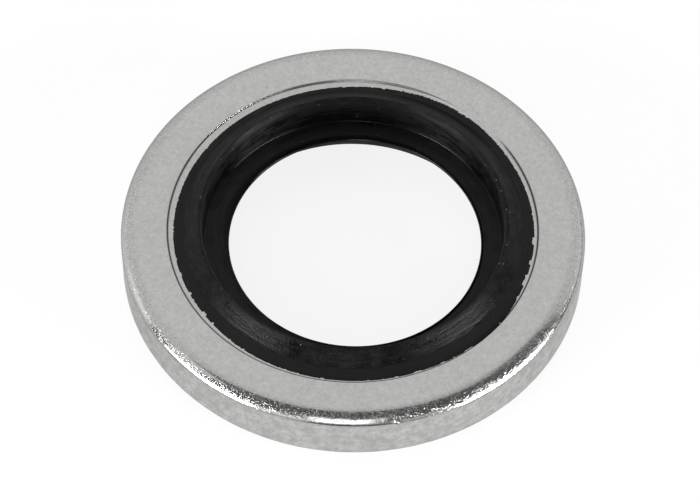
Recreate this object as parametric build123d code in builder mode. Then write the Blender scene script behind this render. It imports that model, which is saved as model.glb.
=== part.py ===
from build123d import *
import math
import os

# Self-centring bonded sealing washer for a G1/8 port: a steel ring with a nitrile ring moulded in its bore.
# Millimetres, +Z up, with the origin on the axis at the bottom: the washer rests on the crest of its lower lip.

os.makedirs("parts", exist_ok=True)

# Nitrile ring. It is the same above and below its middle plane.
lip_diameter = 10.37        # clear bore between the lip crests
lip_stand = 0.33            # how far each crest stands proud of the steel face
crest_width = 0.10          # narrow flat along the crest
flank_width = 0.515         # radial run of the sloping outer flank
seal_land_width = 0.15      # flat rubber between the flank's foot and the steel bore
inner_wall_draft = 2.5      # degrees, so that the mould core draws out

# Centring web: a thin flap, tapering inwards, that springs over the thread and holds the washer central.
web_width = 0.76            # radial width, from the lip's inner wall to the hole
web_root_thickness = 0.43
web_edge_thickness = 0.25

# Steel ring, blanked from sheet, tumbled and zinc plated.
steel_width = 1.99          # radial width
steel_thickness = 2.03
bore_edge_radius = 0.35
die_roll_width = 0.58       # the punch draws the top outer edge down in a long soft curve
die_roll_depth = 0.30
die_roll_edge_radius = 0.10  # tumbled edge where the die roll meets the sheared side
burr_edge_radius = 0.20     # tumbled edge on the side where the sheet broke through

# The mould closes on the steel round the bore and coins a shallow land there on both faces.
coined_depth = 0.05
coined_land_width = 0.175   # from the rubber's edge to the foot of the step
coined_step_width = 0.07    # radial run of the step's sloping wall

# Radii and heights that follow. Heights are measured from the middle plane.
half_thickness = steel_thickness / 2
coined_height = half_thickness - coined_depth
crest_height = half_thickness + lip_stand
web_root_height = web_root_thickness / 2
web_edge_height = web_edge_thickness / 2

crest_radius = lip_diameter / 2
crest_outer_radius = crest_radius + crest_width
flank_foot_radius = crest_outer_radius + flank_width
bore_radius = flank_foot_radius + seal_land_width
web_root_radius = crest_radius - (crest_height - web_root_height) * math.tan(math.radians(inner_wall_draft))
web_hole_radius = web_root_radius - web_width

# The coined land cuts the top off the rounded bore edge, and the rubber runs out to nothing on that line.
bore_edge_height = half_thickness - bore_edge_radius
bore_edge_sweep = math.degrees(math.asin((coined_height - bore_edge_height) / bore_edge_radius))
rubber_edge_radius = bore_radius + bore_edge_radius * (1 - math.cos(math.radians(bore_edge_sweep)))
step_foot_radius = rubber_edge_radius + coined_land_width
step_top_radius = step_foot_radius + coined_step_width
outer_radius = bore_radius + steel_width

middle_height = crest_height
section_plane = Plane(origin=(0, 0, middle_height), x_dir=(1, 0, 0), z_dir=(0, -1, 0))


def bonded_bore_edge():
    """The rounded upper corner of the steel bore, shared by the steel and the rubber bonded to it."""
    return CenterArc(
        center=(bore_radius + bore_edge_radius, bore_edge_height),
        radius=bore_edge_radius,
        start_angle=180,
        arc_size=-bore_edge_sweep,
    )


# Steel ring: the same at both ends of its bore, with the die roll above and the tumbled burr edge below outside.
with BuildPart() as steel_ring:
    with BuildSketch(section_plane) as ring_section:
        with BuildLine():
            rounded_edge = bonded_bore_edge()
            Polyline(
                rounded_edge @ 1,
                (step_foot_radius, coined_height),
                (step_top_radius, half_thickness),
            )
            mirror(about=Plane.XZ)
            Line((bore_radius, -bore_edge_height), (bore_radius, bore_edge_height))
            Line((step_top_radius, half_thickness), (outer_radius - die_roll_width, half_thickness))
            die_roll = TangentArc(
                (outer_radius - die_roll_width, half_thickness),
                (outer_radius, half_thickness - die_roll_depth),
                tangent=(1, 0),
            )
            Line(die_roll @ 1, (outer_radius, burr_edge_radius - half_thickness))
            burr_edge = CenterArc(
                center=(outer_radius - burr_edge_radius, burr_edge_radius - half_thickness),
                radius=burr_edge_radius,
                start_angle=0,
                arc_size=-90,
            )
            Line(burr_edge @ 1, (step_top_radius, -half_thickness))
        make_face()
        rolled_corner = ring_section.vertices().group_by(Axis.X)[-1].sort_by(Axis.Y)[-1]
        fillet(rolled_corner, die_roll_edge_radius)
    revolve(axis=Axis.Z)

steel_ring.part.label = "steel_ring"
export_step(steel_ring.part, "parts/steel_ring.step")


# Rubber ring: one moulding with a lip on each face, a thin land over each bore edge and the centring web between.
with BuildPart() as rubber_seal:
    with BuildSketch(section_plane) as seal_section:
        with BuildLine():
            rounded_edge = bonded_bore_edge()
            Polyline(
                (web_hole_radius, web_edge_height),
                (web_root_radius, web_root_height),
                (crest_radius, crest_height),
                (crest_outer_radius, crest_height),
                (flank_foot_radius, coined_height),
                rounded_edge @ 1,
            )
            mirror(about=Plane.XZ)
            Line((web_hole_radius, -web_edge_height), (web_hole_radius, web_edge_height))
            Line((bore_radius, -bore_edge_height), (bore_radius, bore_edge_height))
        make_face()
    revolve(axis=Axis.Z)

rubber_seal.part.label = "rubber_seal"
export_step(rubber_seal.part, "parts/rubber_seal.step")
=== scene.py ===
import math
import random

import bpy
from mathutils import Matrix, Vector


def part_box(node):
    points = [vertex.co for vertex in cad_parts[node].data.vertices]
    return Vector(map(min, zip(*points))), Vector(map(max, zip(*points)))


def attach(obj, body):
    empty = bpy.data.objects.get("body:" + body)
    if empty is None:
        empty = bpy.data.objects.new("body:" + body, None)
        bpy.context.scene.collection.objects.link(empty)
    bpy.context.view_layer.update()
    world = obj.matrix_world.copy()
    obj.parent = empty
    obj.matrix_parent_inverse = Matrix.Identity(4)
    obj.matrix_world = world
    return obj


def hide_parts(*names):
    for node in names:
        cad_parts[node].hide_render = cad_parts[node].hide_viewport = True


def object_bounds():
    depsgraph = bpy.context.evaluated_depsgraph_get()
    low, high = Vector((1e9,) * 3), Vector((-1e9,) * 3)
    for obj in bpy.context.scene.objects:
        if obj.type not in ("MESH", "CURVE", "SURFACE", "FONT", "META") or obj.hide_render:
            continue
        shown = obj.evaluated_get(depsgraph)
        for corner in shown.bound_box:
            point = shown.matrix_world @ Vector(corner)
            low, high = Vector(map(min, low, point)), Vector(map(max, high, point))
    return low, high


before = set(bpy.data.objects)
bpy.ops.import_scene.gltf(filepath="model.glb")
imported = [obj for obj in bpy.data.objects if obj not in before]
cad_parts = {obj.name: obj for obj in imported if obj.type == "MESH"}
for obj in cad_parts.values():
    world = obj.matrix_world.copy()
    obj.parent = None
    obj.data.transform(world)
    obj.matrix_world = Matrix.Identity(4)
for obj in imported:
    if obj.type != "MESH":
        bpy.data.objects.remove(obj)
cad_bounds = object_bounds()
mm = 0.001


# Steel ring. Blanked from two-millimetre sheet, tumbled and zinc plated. The punch drew its upper outer edge
# down in a long burnished roll, and below it stands the sheared side. Round the bore both faces carry the
# shallow land that the rubber mould coined when it closed on the steel.

ring_low, ring_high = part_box("steel_ring")
seal_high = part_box("rubber_seal")[1]
outer_radius = ring_high.x
upper_face = ring_high.z
lower_face = ring_low.z
middle_height = (upper_face + lower_face) / 2

bore_radius = 5.95 * mm
bore_edge_rounding = 0.07 * mm
die_roll_width = 0.58 * mm
die_roll_depth = 0.31 * mm
die_roll_edge_radius = 0.10 * mm
burr_edge_radius = 0.20 * mm
coined_depth = 0.065 * mm
coined_land_width = 0.175 * mm
coined_step_width = 0.07 * mm
ring_segments = 1000
step_offset = (-0.015 * mm, -0.045 * mm, 0)  # the mould closed a little off centre on the steel

# The mould pressed least towards this angle, in degrees, and the land rises there.
shallow_side = 52
shallow_half_width = 30
shallow_rise = 0.75 * coined_depth

# The punch stood a little off centre in its die, so the roll is wider and deeper on one side of the ring.
wide_side = 330
uneven_width = 0.06 * mm
uneven_depth = 0.03 * mm

# The roll is drawn down less along one stretch, and the edge has one small nick. Angles are in degrees, and
# the nick's two heights in millimetres.
high_stretch = 220
high_stretch_half_width = 26
high_stretch_rise = 0.035 * mm
nick_angle = 281.3
nick_half_angle = 0.9
nick_height = 2.10
nick_half_height = 0.09
nick_depth = 0.035 * mm

coined_land_height = upper_face - coined_depth
step_foot_radius = seal_high.x + coined_land_width
step_top_radius = step_foot_radius + coined_step_width
die_roll_start = outer_radius - die_roll_width
die_roll_radius = (die_roll_width**2 + die_roll_depth**2) / (2 * die_roll_depth)


def arc(centre_radius, centre_height, radius, start, end, steps):
    """Section points on an arc. Angles are in degrees, from straight outwards up towards +Z."""
    angles = [math.radians(start + (end - start) * step / steps) for step in range(steps + 1)]
    return [(centre_radius + radius * math.cos(a), centre_height + radius * math.sin(a)) for a in angles]


def line(start, end, steps):
    """Section points along a straight line, without its first one."""
    return [
        (start[0] + (end[0] - start[0]) * step / steps, start[1] + (end[1] - start[1]) * step / steps)
        for step in range(1, steps + 1)
    ]


def lathe_ring(name, section):
    """A closed ring: one circle, extruded round its section point by point until it meets itself."""
    bpy.ops.object.select_all(action="DESELECT")
    radius, height = section[0]
    bpy.ops.mesh.primitive_circle_add(vertices=ring_segments, radius=radius)
    ring = bpy.context.object
    ring.name = name
    ring.data.name = name
    bpy.ops.object.mode_set(mode="EDIT")
    bpy.ops.mesh.select_mode(type="EDGE")
    bpy.ops.mesh.select_all(action="SELECT")
    bpy.ops.transform.translate(value=(0, 0, height))
    for next_radius, next_height in section[1:] + section[:1]:
        bpy.ops.mesh.extrude_edges_move(TRANSFORM_OT_translate={"value": (0, 0, next_height - height)})
        growth = next_radius / radius
        bpy.ops.transform.resize(value=(growth, growth, 1), center_override=(0, 0, 0))
        radius, height = next_radius, next_height
    bpy.ops.mesh.select_all(action="SELECT")
    bpy.ops.mesh.remove_doubles(threshold=0.0005 * mm)
    bpy.ops.mesh.normals_make_consistent(inside=False)
    bpy.ops.object.mode_set(mode="OBJECT")
    return ring


def rise(value, low, high):
    """0 below low, 1 above high, and smooth between."""
    share = min(max((value - low) / (high - low), 0), 1)
    return share * share * (3 - 2 * share)


def hump(value, middle, half_width):
    """1 at the middle, falling smoothly to 0 at half_width either side."""
    return rise(1 - abs(value - middle) / half_width, 0, 1)


def select_places(piece, wanted):
    """Enter edit mode with the vertices selected whose radius, height and angle in degrees are wanted."""
    bpy.ops.object.mode_set(mode="EDIT")
    bpy.ops.mesh.select_mode(type="VERT")
    bpy.ops.mesh.select_all(action="DESELECT")
    bpy.ops.object.mode_set(mode="OBJECT")
    for vertex in piece.data.vertices:
        angle = math.degrees(math.atan2(vertex.co.y, vertex.co.x)) % 360
        vertex.select = wanted(math.hypot(vertex.co.x, vertex.co.y), vertex.co.z, angle)
    bpy.ops.object.mode_set(mode="EDIT")


def push(piece, strength, direction, share_at, texture=None):
    """Displace a piece by the share that share_at gives for a radius, height and angle in degrees."""
    group = piece.vertex_groups.new(name="share")
    for vertex in piece.data.vertices:
        angle = math.degrees(math.atan2(vertex.co.y, vertex.co.x)) % 360
        share = share_at(math.hypot(vertex.co.x, vertex.co.y), vertex.co.z, angle)
        if share > 0.001:
            group.add([vertex.index], share, "REPLACE")
    shift = piece.modifiers.new("shift", "DISPLACE")
    shift.vertex_group = group.name
    shift.strength = strength
    shift.direction = direction
    shift.mid_level = 0.5 if texture else 0.0
    shift.texture = texture
    bpy.ops.object.modifier_apply(modifier=shift.name)
    piece.vertex_groups.clear()


def clouds(name, size, depth=2):
    """A cloud texture of that grain, for a displacement."""
    texture = bpy.data.textures.new(name, "CLOUDS")
    texture.noise_scale = size
    texture.noise_depth = depth
    return texture


# The coined step's rounded section, as shares of its width and of its depth.
step_shares = [(0.12, 0.03), (0.26, 0.14), (0.40, 0.34), (0.60, 0.70), (0.74, 0.88), (0.90, 0.97)]

half_section = arc(
    bore_radius + bore_edge_rounding,
    coined_land_height - bore_edge_rounding,
    bore_edge_rounding,
    180,
    90,
    4,
)
half_section += [(step_foot_radius, coined_land_height)]
half_section += [
    (step_foot_radius + out * coined_step_width, coined_land_height + up * coined_depth)
    for out, up in step_shares
]
half_section += [(step_foot_radius + 1.20 * coined_step_width, upper_face)]
flat_face = line(half_section[-1], (die_roll_start, upper_face), 8)

# The roll is one long arc that turns into the side through a much smaller one, tangent to both.
turn_slope = math.asin((die_roll_width - die_roll_edge_radius) / (die_roll_radius - die_roll_edge_radius))
turn_centre_height = (
    upper_face - die_roll_radius + (die_roll_radius - die_roll_edge_radius) * math.cos(turn_slope)
)
turn_angle = 90 - math.degrees(turn_slope)
die_roll = arc(die_roll_start, upper_face - die_roll_radius, die_roll_radius, 90, turn_angle, 20)[1:]
die_roll += arc(
    outer_radius - die_roll_edge_radius,
    turn_centre_height,
    die_roll_edge_radius,
    turn_angle,
    0,
    10,
)[1:]
side_wall = line(die_roll[-1], (outer_radius, lower_face + burr_edge_radius), 10)
burr_edge = arc(
    outer_radius - burr_edge_radius,
    lower_face + burr_edge_radius,
    burr_edge_radius,
    0,
    -90,
    7,
)[1:]
under_section = [(radius, 2 * middle_height - height) for radius, height in reversed(half_section)]
under_face = line(burr_edge[-1], under_section[0], 4)[:-1]

steel = lathe_ring(
    "steel_ring_finished",
    half_section + flat_face + die_roll + side_wall + burr_edge + under_face + under_section,
)


def roll_share(radius, height):
    """How far down the roll a place is: 0 on the face, 1 at the sheared side, and 0 again low on the side."""
    if height < middle_height:
        return 0
    if radius > outer_radius - 0.002 * mm:
        return rise(height, middle_height, middle_height + 0.5 * mm)
    return min(max((upper_face - height) / die_roll_depth, 0), 1)


def on_wide_side(angle):
    """1 on the wide side of the roll, 0 opposite, and half way between."""
    return 0.5 + 0.5 * math.cos(math.radians(angle - wide_side))


def near_roll_start(radius, height, angle):
    """1 where the roll leaves the upper face, fading to 0 inwards and out to the side."""
    if height < middle_height:
        return 0
    fade_out = 1 - rise(radius, die_roll_start, outer_radius)
    return rise(radius, die_roll_start - 0.1 * mm, die_roll_start) * fade_out


select_places(
    steel,
    lambda radius, height, angle: height > middle_height
    and step_foot_radius - 0.01 * mm < radius < step_top_radius + 0.03 * mm,
)
bpy.ops.transform.translate(value=step_offset)
bpy.ops.object.mode_set(mode="OBJECT")


def land_share(radius, height, angle):
    """How far below the face a place on the coined land is, on the side where the mould pressed least."""
    if height < coined_land_height - 0.001 * mm or radius > step_top_radius + 0.1 * mm:
        return 0
    return (upper_face - height) / coined_depth * hump(angle, shallow_side, shallow_half_width)


push(steel, shallow_rise, "Z", land_share)
push(steel, -uneven_width * math.cos(math.radians(wide_side)), "X", near_roll_start)
push(steel, -uneven_width * math.sin(math.radians(wide_side)), "Y", near_roll_start)
push(
    steel,
    -2 * uneven_depth,
    "Z",
    lambda radius, height, angle: roll_share(radius, height) * on_wide_side(angle),
)
push(steel, uneven_depth, "Z", lambda radius, height, angle: roll_share(radius, height))
push(
    steel,
    high_stretch_rise,
    "Z",
    lambda radius, height, angle: roll_share(radius, height)
    * hump(angle, high_stretch, high_stretch_half_width),
)

# The plating over the roll is faintly hammered by the tumbling, and the side faintly torn by the punch.
push(
    steel,
    0.003 * mm,
    "NORMAL",
    lambda radius, height, angle: rise(radius, 7.45 * mm, 7.65 * mm) * rise(height, 1.95 * mm, 2.05 * mm),
    clouds("hammered", 0.22 * mm),
)
push(
    steel,
    0.012 * mm,
    "NORMAL",
    lambda radius, height, angle: rise(radius, 7.8 * mm, 7.9 * mm) * (1 - rise(height, 1.7 * mm, 1.9 * mm)),
    clouds("torn", 0.6 * mm, 3),
)
push(
    steel,
    -nick_depth,
    "NORMAL",
    lambda radius, height, angle: hump(
        math.hypot((angle - nick_angle) / nick_half_angle, (height / mm - nick_height) / nick_half_height),
        0,
        1,
    ),
)
bpy.ops.object.shade_smooth_by_angle(angle=math.radians(32))


def material_with_nodes(name):
    """A new material, its nodes, its links and its Principled shader."""
    material = bpy.data.materials.new(name)
    material.use_nodes = True
    tree = material.node_tree
    return material, tree.nodes, tree.links, tree.nodes["Principled BSDF"]


def noise(nodes, links, place, scale, detail=2.0, roughness=0.5):
    """A noise value that follows the given coordinates."""
    node = nodes.new("ShaderNodeTexNoise")
    node.inputs["Scale"].default_value = scale
    node.inputs["Detail"].default_value = detail
    node.inputs["Roughness"].default_value = roughness
    links.new(place, node.inputs["Vector"])
    return node.outputs["Fac"]


def spread(nodes, links, value, low, high, out_low=0.0, out_high=1.0):
    """Carry a value smoothly from one range into another."""
    node = nodes.new("ShaderNodeMapRange")
    node.interpolation_type = "SMOOTHSTEP"
    node.inputs["From Min"].default_value = low
    node.inputs["From Max"].default_value = high
    node.inputs["To Min"].default_value = out_low
    node.inputs["To Max"].default_value = out_high
    links.new(value, node.inputs["Value"])
    return node.outputs["Result"]


def combine(nodes, links, operation, first, second):
    """One Math node between two values, of which the second may be a plain number."""
    node = nodes.new("ShaderNodeMath")
    node.operation = operation
    links.new(first, node.inputs[0])
    if isinstance(second, (int, float)):
        node.inputs[1].default_value = second
    else:
        links.new(second, node.inputs[1])
    return node.outputs[0]


def blend_colour(nodes, links, share, first, second):
    """A colour that goes from the first to the second with the share. Either may be a colour or a socket."""
    node = nodes.new("ShaderNodeMix")
    node.data_type = "RGBA"
    links.new(share, node.inputs["Factor"])
    for socket, colour in ((node.inputs[6], first), (node.inputs[7], second)):
        if isinstance(colour, tuple):
            socket.default_value = colour
        else:
            links.new(colour, socket)
    return node.outputs[2]


def bump(nodes, links, height, depth, under=None):
    """A bump of the given depth in metres, over another one if there is one."""
    node = nodes.new("ShaderNodeBump")
    node.inputs["Distance"].default_value = depth
    links.new(height, node.inputs["Height"])
    if under:
        links.new(under, node.inputs["Normal"])
    return node.outputs["Normal"]


def facing(nodes, links, direction, angle):
    """How nearly a direction from the axis points to that angle: 1 straight at it, 0 square to it."""
    node = nodes.new("ShaderNodeVectorMath")
    node.operation = "DOT_PRODUCT"
    links.new(direction, node.inputs[0])
    node.inputs[1].default_value = (math.cos(math.radians(angle)), math.sin(math.radians(angle)), 0)
    return node.outputs["Value"]


def ring_places(nodes, links):
    """The piece's own place in millimetres, its distance from the axis, its height and its place across."""
    own = nodes.new("ShaderNodeTexCoord")
    scaled = nodes.new("ShaderNodeVectorMath")
    scaled.operation = "SCALE"
    scaled.inputs["Scale"].default_value = 1 / mm
    links.new(own.outputs["Object"], scaled.inputs[0])
    parts = nodes.new("ShaderNodeSeparateXYZ")
    links.new(scaled.outputs["Vector"], parts.inputs[0])
    across = nodes.new("ShaderNodeCombineXYZ")
    links.new(parts.outputs["X"], across.inputs["X"])
    links.new(parts.outputs["Y"], across.inputs["Y"])
    length = nodes.new("ShaderNodeVectorMath")
    length.operation = "LENGTH"
    links.new(across.outputs["Vector"], length.inputs[0])
    return scaled.outputs["Vector"], length.outputs["Value"], parts.outputs["Z"], across.outputs["Vector"]


dark_plate = (0.408, 0.408, 0.399, 1)
light_plate = (0.562, 0.562, 0.552, 1)
# Painted shade colour for the pits and the corner of the coined step.
painted_shade_colour = (0.16, 0.16, 0.15, 1)
dent_colour = (0.20, 0.20, 0.20, 1)
dull_roughness = 0.42
burnished_roughness = 0.13

zinc, nodes, links, shader = material_with_nodes("zinc_plated_steel")
here, radius, height, across = ring_places(nodes, links)

# The punch burnished the roll, and the mould the coined step. The face and the side keep the plate's dull
# grain.
burnish = combine(
    nodes,
    links,
    "MULTIPLY",
    spread(nodes, links, radius, 7.34, 7.56),
    spread(nodes, links, height, 1.93, 2.03),
)
cloudy = noise(nodes, links, here, 1.1, 3.0, 0.6)
grain = noise(nodes, links, here, 6.5, 4.0, 0.95)
blotches = noise(nodes, links, here, 3.0, 4.0, 0.75)
speckle = noise(nodes, links, here, 21.0, 2.0, 0.7)
struck_most = spread(nodes, links, radius, 7.80, 7.90, 1.0, 0.35)

# The coined step is a thin ring round the place where the mould closed.
pressed = nodes.new("ShaderNodeVectorMath")
pressed.operation = "SUBTRACT"
pressed.inputs[1].default_value = [shift / mm for shift in step_offset]
links.new(across, pressed.inputs[0])
from_press = nodes.new("ShaderNodeVectorMath")
from_press.operation = "LENGTH"
links.new(pressed.outputs["Vector"], from_press.inputs[0])
corner = combine(
    nodes,
    links,
    "MULTIPLY",
    spread(nodes, links, from_press.outputs["Value"], 6.27, 6.30),
    spread(nodes, links, from_press.outputs["Value"], 6.34, 6.39, 1.0, 0.0),
)
polish = combine(nodes, links, "MAXIMUM", burnish, combine(nodes, links, "MULTIPLY", corner, 0.6))
shine = nodes.new("ShaderNodeMapRange")
shine.inputs["To Min"].default_value = dull_roughness
shine.inputs["To Max"].default_value = burnished_roughness
links.new(polish, shine.inputs["Value"])
links.new(shine.outputs["Result"], shader.inputs["Roughness"])

# Painted shade: tiny pits are darkened as the bottom of a pore in the plate is, and a dark line is painted
# into the corner of the coined step, left out towards two angles, one of them where the step glints.
pores = nodes.new("ShaderNodeTexVoronoi")
pores.inputs["Scale"].default_value = 2.6
links.new(here, pores.inputs["Vector"])
pit = spread(nodes, links, pores.outputs["Distance"], 0.05, 0.14, 1.0, 0.0)
pit = combine(nodes, links, "MULTIPLY", pit, spread(nodes, links, noise(nodes, links, here, 2.0), 0.5, 0.62))
direction = nodes.new("ShaderNodeVectorMath")
direction.operation = "NORMALIZE"
links.new(across, direction.inputs[0])
for angle, low, high in ((133, 0.92, 0.965), (shallow_side, 0.93, 0.98)):
    towards = facing(nodes, links, direction.outputs["Vector"], angle)
    shade_kept = spread(nodes, links, towards, low, high, 1.0, 0.0)
    corner = combine(nodes, links, "MULTIPLY", corner, shade_kept)
pit_and_step_shade = combine(nodes, links, "MAXIMUM", combine(nodes, links, "MULTIPLY", pit, 0.4), corner)
on_side = combine(
    nodes,
    links,
    "MULTIPLY",
    spread(nodes, links, radius, 7.88, 7.93),
    spread(nodes, links, height, 2.00, 2.04, 1.5, 0.0),
)
blotches = combine(nodes, links, "SUBTRACT", blotches, 0.52)
blotches = combine(nodes, links, "MULTIPLY", blotches, on_side)
tone = combine(nodes, links, "ADD", combine(nodes, links, "MULTIPLY", cloudy, 0.12), grain)
tone = combine(nodes, links, "ADD", tone, blotches)
plate = blend_colour(nodes, links, spread(nodes, links, tone, 0.29, 0.83), dark_plate, light_plate)
# Painted shade: the pits and the coined step's corner are blended towards a dark grey.
plate = blend_colour(nodes, links, combine(nodes, links, "MULTIPLY", pit_and_step_shade, 0.8), plate, painted_shade_colour)
peened = combine(nodes, links, "MULTIPLY", spread(nodes, links, speckle, 0.56, 0.40), burnish)
plate = blend_colour(nodes, links, combine(nodes, links, "MULTIPLY", peened, 0.4), plate, dent_colour)
links.new(plate, shader.inputs["Base Color"])
shader.inputs["Metallic"].default_value = 1.0
shader.inputs["Specular Tint"].default_value = (0.5, 0.5, 0.5, 1)

dull = bump(nodes, links, grain, 0.001 * mm)
pitted = bump(nodes, links, combine(nodes, links, "MULTIPLY", pit, -1.0), 0.004 * mm, dull)
dent = spread(nodes, links, speckle, 0.50, 0.80)
dent = combine(nodes, links, "MULTIPLY", dent, combine(nodes, links, "MULTIPLY", burnish, struck_most))
struck = bump(nodes, links, dent, 0.0045 * mm, pitted)
links.new(struck, shader.inputs["Normal"])
steel.data.materials.append(zinc)

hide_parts("steel_ring")
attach(steel, "root")


# Rubber ring. One black nitrile moulding, vulcanised into the steel bore: a proud lip on each face, a thin
# skin that feathers out over the coined land, and the web that springs over the thread to centre the washer.

crest_radius = 5.185 * mm
wall_top_radius = crest_radius - 0.02 * mm
crest_width = 0.10 * mm
crest_rounding = 0.045 * mm
crest_run = 0.10 * mm
crest_fall = 0.30 * mm
flank_foot_radius = 5.80 * mm
foot_ridge_height = 0.006 * mm
web_root_radius = 5.136 * mm
web_root_rounding = 0.05 * mm
web_hole_radius = 4.336 * mm
web_edge_rounding = 0.03 * mm
web_root_half = 0.15 * mm
web_edge_half = 0.055 * mm
skin_thickness = 0.012 * mm
skin_edge_radius = 6.165 * mm
cavity_offset = (0.02 * mm, -0.135 * mm, 0)  # the mould's cavity sat off centre on the steel
core_offset = (0.07 * mm, -0.02 * mm, 0.07 * mm)  # and its core off centre in the cavity

web_edge = (web_hole_radius + web_edge_rounding, middle_height + web_edge_half)
web_foot = (web_root_radius - web_root_rounding, middle_height + web_root_half)
web_root = arc(web_foot[0], web_foot[1] + web_root_rounding, web_root_rounding, -90, 0, 6)
crest_quarter = [math.radians(15 * step) for step in range(1, 7)]
flank_top = (crest_radius + crest_width, seal_high.z - 0.3 * crest_rounding)
ridge = flank_foot_radius + 0.06 * mm
skin_top = coined_land_height + skin_thickness

half_seal = (
    [(web_hole_radius, middle_height), (web_hole_radius, web_edge[1] - web_edge_rounding), web_edge]
    + line(web_edge, web_foot, 6)
    + web_root[1:]
    + line(web_root[-1], (wall_top_radius, seal_high.z - crest_fall), 4)
    + [
        (
            wall_top_radius + crest_run * (1 - math.cos(turn)),
            seal_high.z - crest_fall * (1 - math.sin(turn)),
        )
        for turn in crest_quarter
    ]
    + [flank_top]
    + line(flank_top, (flank_foot_radius, skin_top + 0.2 * skin_thickness), 9)
    + [
        (ridge - 0.02 * mm, skin_top),
        (ridge, skin_top + foot_ridge_height),
        (ridge + 0.02 * mm, skin_top),
        (6.0 * mm, skin_top),
        (skin_edge_radius - 0.02 * mm, skin_top),
        (skin_edge_radius, coined_land_height + 0.3 * skin_thickness),
        (skin_edge_radius - 0.01 * mm, coined_land_height - skin_thickness),
        (bore_radius + 0.03 * mm, coined_land_height - 2 * skin_thickness),
        (bore_radius, coined_land_height - 0.06 * mm),
    ]
)
under_half = [(radius, 2 * middle_height - height) for radius, height in reversed(half_seal[1:])]
seal = lathe_ring("rubber_seal_finished", half_seal + under_half)

# The skin's edge is torn a little, and bitten through to the steel in a few places: angle and half width in
# degrees. The ragged edge is a share of the places and how far each is drawn in or out.
bites = [(207, 0.5), (216, 0.8), (220.5, 0.5), (341, 2.2), (348, 0.9), (356.5, 1.5)]
nibbles = [(193, 0.5), (199, 0.7), (261, 0.7), (284, 0.5), (291, 1.2), (299.5, 0.7), (309, 1.6), (334, 0.8)]
ragged = [(0.15, 0.9985), (0.12, 1.0015), (0.05, 0.996)]

# The skin ran out a little further on two sides: angle and half width in degrees, and how far.
bulges = [(62, 44, 0.10 * mm), (318, 26, 0.06 * mm)]


def on_skin_edge(radius):
    """Whether a place is on the feathered edge of the skin."""
    return radius > skin_edge_radius - 0.03 * mm


random.seed(7)
for share, growth in ragged:
    torn_at = {degree for degree in range(0, 720) if random.random() < share}
    select_places(seal, lambda radius, height, angle: on_skin_edge(radius) and int(2 * angle) in torn_at)
    bpy.ops.transform.resize(value=(growth, growth, 1), center_override=(0, 0, 0))
for places, growth in ((bites, 0.989), (nibbles, 0.995)):
    select_places(
        seal,
        lambda radius, height, angle: on_skin_edge(radius)
        and any(abs(angle - middle) < width for middle, width in places),
    )
    bpy.ops.transform.resize(value=(growth, growth, 1), center_override=(0, 0, 0))
select_places(seal, lambda radius, height, angle: radius > 6.05 * mm)
bpy.ops.transform.translate(value=cavity_offset)
select_places(seal, lambda radius, height, angle: radius < web_hole_radius + 1.5 * web_edge_rounding)
bpy.ops.transform.translate(value=core_offset)
bpy.ops.object.mode_set(mode="OBJECT")


def bulge_at(middle, half_width):
    """How much each place takes part in a bulge of the skin round that angle in degrees."""
    return lambda radius, height, angle: rise(radius, 5.95 * mm, 6.1 * mm) * hump(
        (angle - middle + 180) % 360, 180, half_width
    )


for angle, half_width, size in bulges:
    push(seal, size * math.cos(math.radians(angle)), "X", bulge_at(angle, half_width))
    push(seal, size * math.sin(math.radians(angle)), "Y", bulge_at(angle, half_width))
push(
    seal,
    shallow_rise,
    "Z",
    lambda radius, height, angle: rise(radius, flank_foot_radius, flank_foot_radius + 0.1 * mm)
    * hump(angle, shallow_side, shallow_half_width)
    * (height > middle_height),
)
bpy.ops.object.shade_smooth_by_angle(angle=math.radians(35))

deep_black = (0.0004, 0.0003, 0.0003, 1)
worn_black = (0.0085, 0.0076, 0.0078, 1)
# Painted shade colour for the inner wall and the web.
painted_wall_shade = (0.0009, 0.0007, 0.0007, 1)
skin_black = (0.0048, 0.0044, 0.0044, 1)
dust_grey = (0.22, 0.22, 0.21, 1)

nitrile, nodes, links, shader = material_with_nodes("nitrile_rubber")
here, radius, height, across = ring_places(nodes, links)

# Turning marks of the mould run round the ring: long along the circle and fine across it.
direction = nodes.new("ShaderNodeVectorMath")
direction.operation = "NORMALIZE"
links.new(across, direction.inputs[0])
stretched = nodes.new("ShaderNodeVectorMath")
stretched.operation = "SCALE"
stretched.inputs["Scale"].default_value = 5.0
links.new(direction.outputs["Vector"], stretched.inputs[0])
section_place = combine(nodes, links, "SUBTRACT", radius, height)
fine = nodes.new("ShaderNodeCombineXYZ")
links.new(combine(nodes, links, "MULTIPLY", section_place, 9.0), fine.inputs["Z"])
along = nodes.new("ShaderNodeVectorMath")
along.operation = "ADD"
links.new(stretched.outputs["Vector"], along.inputs[0])
links.new(fine.outputs["Vector"], along.inputs[1])
streaks = noise(nodes, links, along.outputs["Vector"], 1.0, 3.0, 0.6)
mottle = noise(nodes, links, here, 2.2, 3.0, 0.6)
skin_grain = noise(nodes, links, here, 11.0, 2.0, 0.7)

# Satin all over, and dullest along the crest. The mould's marks fade out on the web and the wall above it.
shader.inputs["Specular IOR Level"].default_value = 0.16
shader.inputs["Anisotropic"].default_value = 0.8
shader.inputs["Anisotropic Rotation"].default_value = 0.25
lip_shine = spread(nodes, links, streaks, 0.35, 0.65, 0.24, 0.44)
patches = spread(nodes, links, mottle, 0.35, 0.65, 0.0, 0.10)
crest_dullness = combine(
    nodes,
    links,
    "MULTIPLY",
    spread(nodes, links, radius, 5.16, 5.21, -0.06, 0.22),
    spread(nodes, links, radius, 5.28, 5.36, 1.0, 0.0),
)
dullness = combine(nodes, links, "ADD", crest_dullness, patches)
links.new(combine(nodes, links, "ADD", lip_shine, dullness), shader.inputs["Roughness"])

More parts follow.
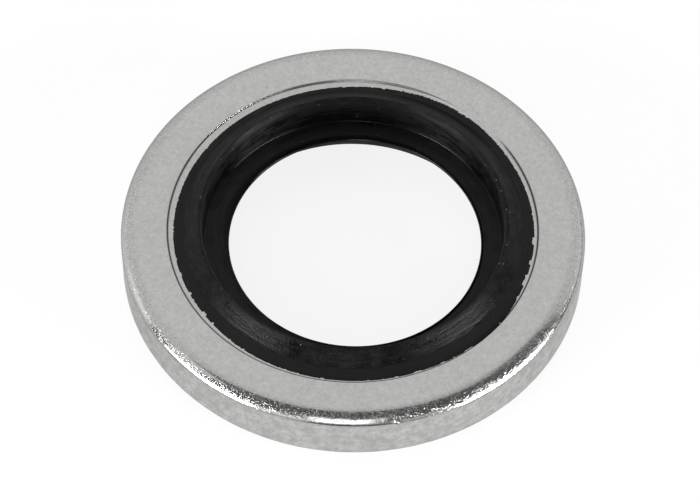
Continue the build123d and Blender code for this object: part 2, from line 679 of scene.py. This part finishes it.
# A few specks of dust, most of them near the crest.
dust = nodes.new("ShaderNodeTexVoronoi")
dust.inputs["Scale"].default_value = 4.5
links.new(here, dust.inputs["Vector"])
speck = spread(nodes, links, dust.outputs["Distance"], 0.05, 0.12, 1.0, 0.0)
dusty = spread(nodes, links, noise(nodes, links, here, 1.7), 0.45, 0.6)
speck = combine(nodes, links, "MULTIPLY", speck, dusty)
near_crest = combine(
    nodes,
    links,
    "MULTIPLY",
    spread(nodes, links, radius, 5.10, 5.20, 0.15, 1.0),
    spread(nodes, links, radius, 5.34, 5.50, 1.0, 0.25),
)
speck = combine(nodes, links, "MULTIPLY", speck, near_crest)
uneven = combine(nodes, links, "ADD", mottle, noise(nodes, links, here, 16.0, 2.0, 0.9))
black = blend_colour(nodes, links, spread(nodes, links, uneven, 0.82, 1.28), deep_black, worn_black)
# Painted shade: the inner wall and the web, down in the hollow between the lips, are painted near black.
black = blend_colour(nodes, links, spread(nodes, links, radius, 5.16, 5.26), painted_wall_shade, black)
black = blend_colour(nodes, links, spread(nodes, links, radius, 5.78, 5.84), black, skin_black)
black = blend_colour(nodes, links, combine(nodes, links, "MULTIPLY", speck, 0.7), black, dust_grey)
links.new(black, shader.inputs["Base Color"])
lip = spread(nodes, links, radius, 5.18, 5.32, 0.1, 1.0)
turned = bump(nodes, links, combine(nodes, links, "MULTIPLY", streaks, lip), 0.022 * mm)
pebbled = bump(nodes, links, combine(nodes, links, "MULTIPLY", skin_grain, lip), 0.009 * mm, turned)
links.new(pebbled, shader.inputs["Normal"])
seal.data.materials.append(nitrile)

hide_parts("rubber_seal")
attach(seal, "root")


# Studio. A plain white floor in a grey room, with two panels overhead and three walls of light at the back.
# Low bright soft boxes stand at both sides, and dim panels and one small soft box at the left and in front.
# The zenith and the front corners stay dark.

bpy.ops.object.select_all(action="DESELECT")
bpy.ops.mesh.primitive_plane_add(size=3.0, location=(0, 0, cad_bounds[0].z))
floor = bpy.context.object
floor.name = "floor"
paper, nodes, links, shader = material_with_nodes("white_paper")
shader.inputs["Base Color"].default_value = (0.88, 0.88, 0.88, 1)
shader.inputs["Roughness"].default_value = 0.9
shader.inputs["Specular IOR Level"].default_value = 0.0
glow = nodes.new("ShaderNodeEmission")
path = nodes.new("ShaderNodeLightPath")
seen = combine(nodes, links, "MAXIMUM", path.outputs["Is Camera Ray"], path.outputs["Is Glossy Ray"])
seen = combine(nodes, links, "MAXIMUM", seen, path.outputs["Is Transmission Ray"])
mix = nodes.new("ShaderNodeMixShader")
links.new(combine(nodes, links, "MULTIPLY", seen, 0.85), mix.inputs["Fac"])
links.new(shader.outputs["BSDF"], mix.inputs[1])
links.new(glow.outputs["Emission"], mix.inputs[2])
links.new(mix.outputs[0], nodes["Material Output"].inputs["Surface"])
floor.data.materials.append(paper)

world = bpy.data.worlds.new("dim_room")
bpy.context.scene.world = world
world.use_nodes = True
nodes, links = world.node_tree.nodes, world.node_tree.links
path = nodes.new("ShaderNodeLightPath")
room = blend_colour(nodes, links, path.outputs["Is Camera Ray"], (0.17, 0.17, 0.17, 1), (0.95, 0.95, 0.95, 1))
links.new(room, nodes["Background"].inputs["Color"])


def lamp(name, place, width, height, radiance, aim=None):
    """A rectangular lamp facing a direction, or the washer if none is given."""
    lamp_data = bpy.data.lights.new(name, "AREA")
    lamp_data.shape = "RECTANGLE"
    lamp_data.size = width
    lamp_data.size_y = height
    lamp_data.energy = radiance * math.pi * width * height
    holder = bpy.data.objects.new(name, lamp_data)
    bpy.context.scene.collection.objects.link(holder)
    holder.location = place
    holder.rotation_euler = (Vector(aim or place) * (1 if aim else -1)).to_track_quat("-Z", "Y").to_euler()
    holder.visible_camera = False


def toward(azimuth, elevation, distance=0.6):
    """A place seen from the washer in that direction, with the azimuth anticlockwise from +X."""
    a, e = math.radians(azimuth), math.radians(elevation)
    return Vector((math.cos(a) * math.cos(e), math.sin(a) * math.cos(e), math.sin(e))) * distance


lamp("overhead_left", (-0.42, 0.605, 0.4), 1.16, 1.2, 0.8, aim=(0, 0, -1))
lamp("overhead_right", (0.58, 0.665, 0.4), 0.84, 1.08, 0.8, aim=(0, 0, -1))
lamp("back_wall", (0, 1.25, 0.21), 2.5, 0.42, 0.8, aim=(0, -1, 0))
lamp("left_back_wall", (-1.25, 0.62, 0.25), 1.26, 0.5, 0.95, aim=(1, 0, 0))
lamp("right_back_wall", (1.25, 0.78, 0.31), 0.94, 0.38, 1.0, aim=(-1, 0, 0))
lamp("left_wall", toward(193, 43), 0.18, 0.31, 1.0)
lamp("left_side_panel", toward(168, 17), 0.18, 0.16, 0.6)
lamp("far_left_soft_box", toward(199, 13), 0.14, 0.16, 14.0)
lamp("left_soft_box", toward(217, 13), 0.23, 0.16, 36.0)
lamp("right_soft_box", toward(333, 11.5), 0.38, 0.14, 36.0)
lamp("front_soft_box", toward(267, 38), 0.21, 0.25, 4.0)
lamp("front_left_panel", toward(242, 22), 0.22, 0.22, 1.0)
lamp("front_right_panel", toward(298, 20), 0.22, 0.20, 0.6)

# A long lens from above and in front.
camera_data = bpy.data.cameras.new("camera")
camera_data.sensor_width = 36.0
camera_data.lens = 159.72
camera_data.clip_start = 1 * mm
camera = bpy.data.objects.new("camera", camera_data)
bpy.context.scene.collection.objects.link(camera)
camera.location = (0, -61.856 * mm, 88.495 * mm)
aim = Vector((-0.096 * mm, -1.059 * mm, 2.36 * mm))
back = (camera.location - aim).normalized()
roll = Matrix.Rotation(math.radians(0.897), 3, back).to_quaternion()
camera.rotation_mode = "QUATERNION"
camera.rotation_quaternion = roll @ back.to_track_quat("Z", "Y")
bpy.context.scene.camera = camera
bpy.context.scene.view_settings.view_transform = "Standard"
